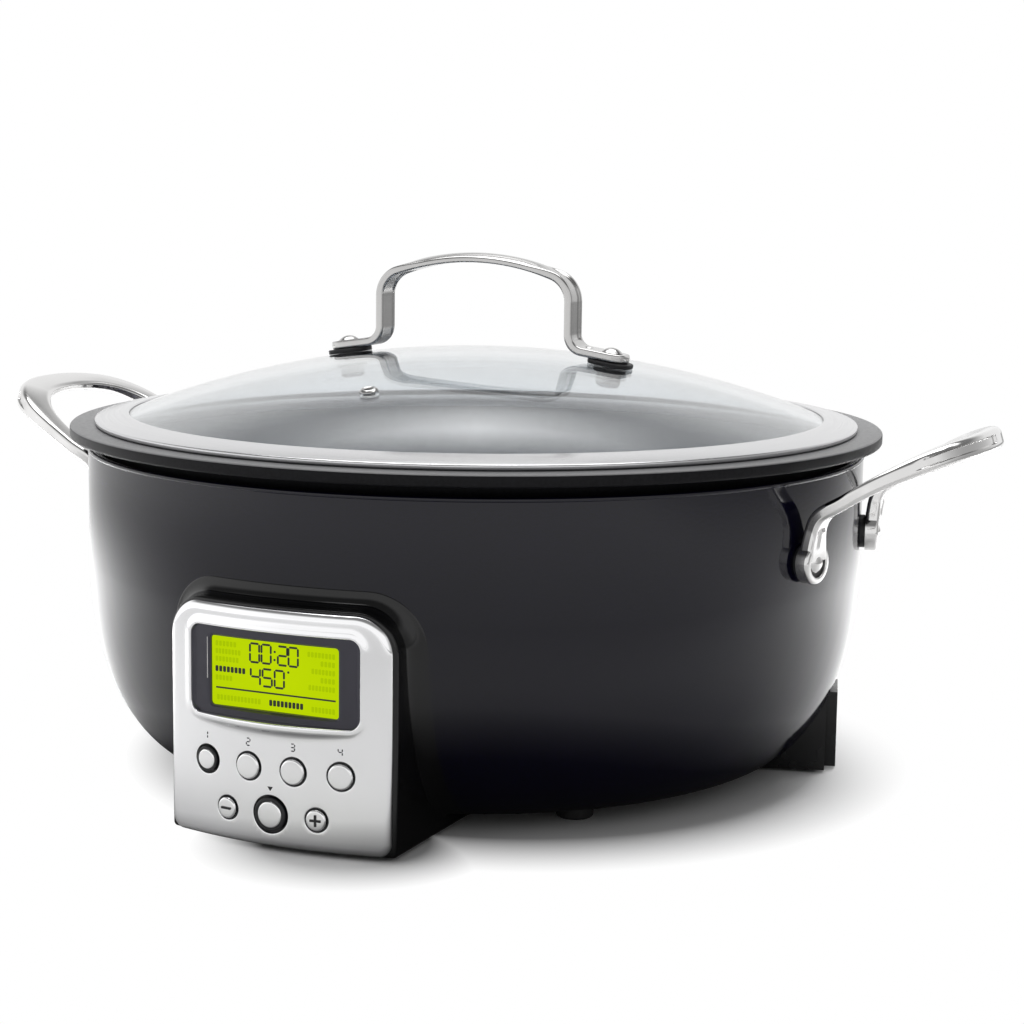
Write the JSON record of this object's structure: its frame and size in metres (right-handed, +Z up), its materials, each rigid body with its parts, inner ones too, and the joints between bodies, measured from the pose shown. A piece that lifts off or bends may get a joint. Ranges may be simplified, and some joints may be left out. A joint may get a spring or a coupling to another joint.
{
  "type": "electric skillet",
  "caption": "Round countertop electric skillet: glossy black bowl base with loop handles and a front control panel, a lift-out non-stick pan and a lift-off glass lid with a strap handle.",
  "frame": {"origin": "on the vessel's axis, at the surface that the feet stand on", "axes": "+Z up along the vessel's axis, -Y towards the control panel's front, +X towards the right-hand handle seen from the front"},
  "size_m": [0.4306, 0.3353, 0.2052],
  "materials": {
    "black_enamel": "high gloss black enamel",
    "liner_steel": "plain rolled sheet",
    "cover_black": "matt black",
    "foot_rubber": "matt",
    "zinc_steel": "zinc plated",
    "cast_aluminium": "as cast",
    "element_steel": "heat darkened",
    "sensor_brass": "turned",
    "ceramic": "unglazed",
    "board_green": "solder mask",
    "component_black": "moulded",
    "terminal_green": "moulded",
    "mains_sheath": "smooth",
    "heater_sheath": "smooth",
    "control_sheath": "smooth",
    "housing_black": "gloss black",
    "inlet_black": "satin black",
    "fascia_chrome": "polished plating",
    "bezel_slate": "slate grey, semi gloss",
    "display_lime": "lime backlight behind a smooth face",
    "button_chrome": "polished plating",
    "handle_steel": "satin polished casting",
    "spacer_black": "matt",
    "pan_coating": "matt charcoal non-stick coating with fine specks",
    "lid_clear": "clear tempered",
    "ring_steel": "satin rolled rim",
    "strap_steel": "polished stainless strap",
    "pad_rubber": "matt"
  },
  "bodies": {
    "base": {"shell": "black_enamel", "liner": "liner_steel", "bottom_cover": "cover_black", "foot_front_right": "foot_rubber", "foot_front_left": "foot_rubber", "foot_rear_right": "foot_rubber", "foot_rear_left": "foot_rubber", "foot_screws": "zinc_steel", "heater_plate": "cast_aluminium", "heater_element": "element_steel", "heater_posts": "zinc_steel", "reflector": "liner_steel", "temp_sensor": "sensor_brass", "thermal_cutout": "ceramic", "power_board": "board_green", "relay": "component_black", "terminal_block": "terminal_green", "mains_loom": "mains_sheath", "heater_loom": "heater_sheath", "control_loom": "control_sheath", "shell_grommet": "mains_sheath", "inlet_block": "inlet_black", "inlet_insert": "inlet_black", "inlet_pins": "sensor_brass", "housing": "housing_black", "housing_screws": "zinc_steel", "fascia": "fascia_chrome", "window_bezel": "bezel_slate", "lcd": "display_lime", "display_board": "board_green", "key_board": "board_green", "key_switches": "component_black", "board_screws": "zinc_steel", "handle_right": "handle_steel", "handle_left": "handle_steel", "handle_spacers": "spacer_black", "handle_rivets": "handle_steel"},
    "pan": {"pan": "pan_coating"},
    "lid": {"lid_glass": "lid_clear", "lid_ring": "ring_steel", "lid_handle": "strap_steel", "lid_pad_right": "pad_rubber", "lid_pad_left": "pad_rubber", "lid_screws": "strap_steel", "lid_washers": "pad_rubber", "lid_nuts": "ring_steel", "vent_eyelet": "ring_steel"},
    "button_mode_cap": {"button_mode": "button_chrome"},
    "button_menu_cap": {"button_menu": "button_chrome"},
    "button_time_cap": {"button_time": "button_chrome"},
    "button_temp_cap": {"button_temp": "button_chrome"},
    "button_minus_cap": {"button_minus": "button_chrome"},
    "button_start_cap": {"button_start": "button_chrome"},
    "button_plus_cap": {"button_plus": "button_chrome"}
  },
  "joints": [
    {"name": "pan_lift", "type": "slide", "parent": "base", "child": "pan", "axis": [0, 0, 1], "range_m": [0, 0.12]},
    {"name": "lid_lift", "type": "slide", "parent": "pan", "child": "lid", "axis": [0, 0, 1], "range_m": [0, 0.12]},
    {"name": "press_mode", "type": "slide", "parent": "base", "child": "button_mode_cap", "axis": [0.1593, 0.9872, 0], "range_m": [0, 0.0008], "stiffness_N_per_m": 800, "springref_m": -0.0003},
    {"name": "press_menu", "type": "slide", "parent": "base", "child": "button_menu_cap", "axis": [0.0531, 0.9986, 0], "range_m": [0, 0.0008], "stiffness_N_per_m": 800, "springref_m": -0.0003},
    {"name": "press_time", "type": "slide", "parent": "base", "child": "button_time_cap", "axis": [-0.0531, 0.9986, 0], "range_m": [0, 0.0008], "stiffness_N_per_m": 800, "springref_m": -0.0003},
    {"name": "press_temp", "type": "slide", "parent": "base", "child": "button_temp_cap", "axis": [-0.1593, 0.9872, 0], "range_m": [0, 0.0008], "stiffness_N_per_m": 800, "springref_m": -0.0003},
    {"name": "press_minus", "type": "slide", "parent": "base", "child": "button_minus_cap", "axis": [0.1062, 0.9943, 0], "range_m": [0, 0.0008], "stiffness_N_per_m": 800, "springref_m": -0.0003},
    {"name": "press_start", "type": "slide", "parent": "base", "child": "button_start_cap", "axis": [0, 1, 0], "range_m": [0, 0.0008], "stiffness_N_per_m": 800, "springref_m": -0.0003},
    {"name": "press_plus", "type": "slide", "parent": "base", "child": "button_plus_cap", "axis": [-0.1062, 0.9943, 0], "range_m": [0, 0.0008], "stiffness_N_per_m": 800, "springref_m": -0.0003}
  ]
}
